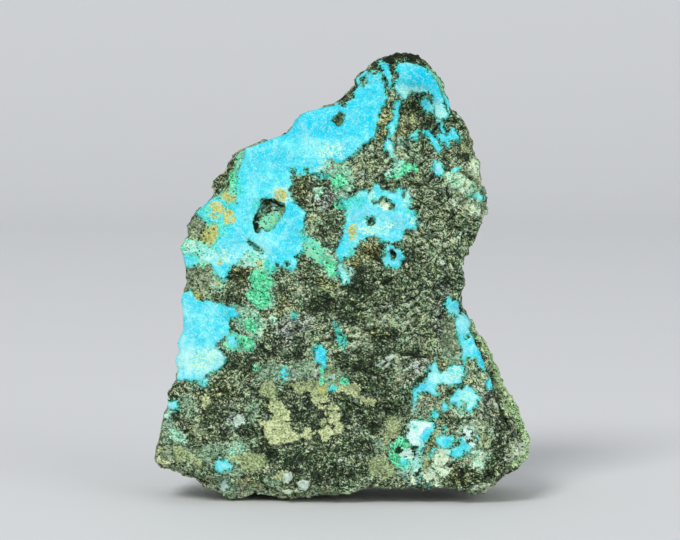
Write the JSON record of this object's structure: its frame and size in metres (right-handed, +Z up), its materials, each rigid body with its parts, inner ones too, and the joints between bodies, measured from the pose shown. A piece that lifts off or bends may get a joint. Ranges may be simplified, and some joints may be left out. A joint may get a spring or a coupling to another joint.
{
  "type": "mineral specimen on schist matrix",
  "caption": "Free-standing slab of dark schist with a thin turquoise and green copper crust on its front face, flat where it rests.",
  "frame": {"origin": "middle of the bounding box in X and Y, on the surface that the slab stands on", "axes": "+Z up to the peak, the crusted face looks along -Y, +X to the right of that face"},
  "size_m": [0.075, 0.0332, 0.089],
  "materials": {
    "rock": "rough dark grey-green schist with a thin matt turquoise, cyan and green crust and tan stains"
  },
  "bodies": {
    "root": {"specimen": "rock"}
  },
  "joints": []
}
